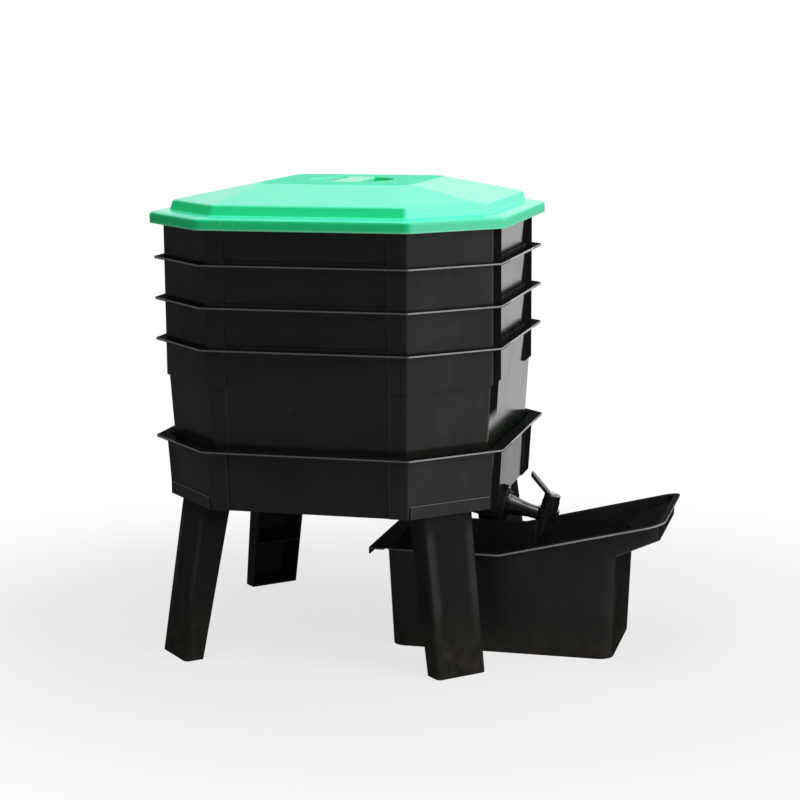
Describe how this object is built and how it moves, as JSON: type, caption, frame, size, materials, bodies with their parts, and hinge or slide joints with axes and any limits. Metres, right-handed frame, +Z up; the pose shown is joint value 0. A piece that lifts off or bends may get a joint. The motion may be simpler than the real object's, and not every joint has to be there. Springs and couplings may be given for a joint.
{
  "type": "stacking wormery",
  "caption": "Octagonal stacking wormery: nesting worm trays under a lift-off lid, on a legged sump base with a drain tap and a catch tub for the liquid.",
  "frame": {"origin": "middle of the footprint of the whole set, stack and catch tub together, on the ground", "axes": "+X from the stack towards the tap and the tub's pouring end, -Y towards the front, +Z up"},
  "size_m": [0.7245, 0.511, 0.663],
  "materials": {
    "black_plastic": "satin, moulded",
    "tub_plastic": "satin, moulded",
    "green_plastic": "semi-gloss, moulded",
    "tap_plastic": "semi-gloss, moulded",
    "seal_rubber": "matt",
    "screw_steel": "zinc plated"
  },
  "bodies": {
    "base": {"base_tray": "black_plastic", "leg_front_left": "black_plastic", "leg_front_right": "black_plastic", "leg_back_left": "black_plastic", "leg_back_right": "black_plastic", "worm_ladder": "black_plastic", "tap_body": "tap_plastic", "tap_washer_outer": "seal_rubber", "tap_washer_inner": "seal_rubber", "tap_lock_nut": "tap_plastic", "tap_bonnet": "tap_plastic"},
    "tap_valve": {"tap_plug": "tap_plastic", "tap_lever": "tap_plastic", "tap_lever_screw": "screw_steel"},
    "tray_4": {"tray_4": "black_plastic"},
    "tray_3": {"tray_3": "black_plastic"},
    "tray_2": {"tray_2": "black_plastic"},
    "tray_1": {"tray_1": "black_plastic"},
    "lid": {"lid": "green_plastic"},
    "catch_tub": {"catch_tub": "tub_plastic"}
  },
  "joints": [
    {"name": "tap_turn", "type": "hinge", "parent": "base", "child": "tap_valve", "pos_m": [0.18941, -0.045, 0.19276], "axis": [0.2419, 0, 0.9703], "range_deg": [0, 90]},
    {"name": "tray_4_lift", "type": "slide", "parent": "base", "child": "tray_4", "axis": [0, 0, 1], "range_m": [0, 0.125]},
    {"name": "tray_3_lift", "type": "slide", "parent": "tray_4", "child": "tray_3", "axis": [0, 0, 1], "range_m": [0, 0.125]},
    {"name": "tray_2_lift", "type": "slide", "parent": "tray_3", "child": "tray_2", "axis": [0, 0, 1], "range_m": [0, 0.125]},
    {"name": "tray_1_lift", "type": "slide", "parent": "tray_2", "child": "tray_1", "axis": [0, 0, 1], "range_m": [0, 0.125]},
    {"name": "lid_lift", "type": "slide", "parent": "tray_1", "child": "lid", "axis": [0, 0, 1], "range_m": [0, 0.06]},
    {"name": "catch_tub_pull", "type": "slide", "parent": "base", "child": "catch_tub", "axis": [1, 0, 0], "range_m": [0, 0.3]}
  ]
}
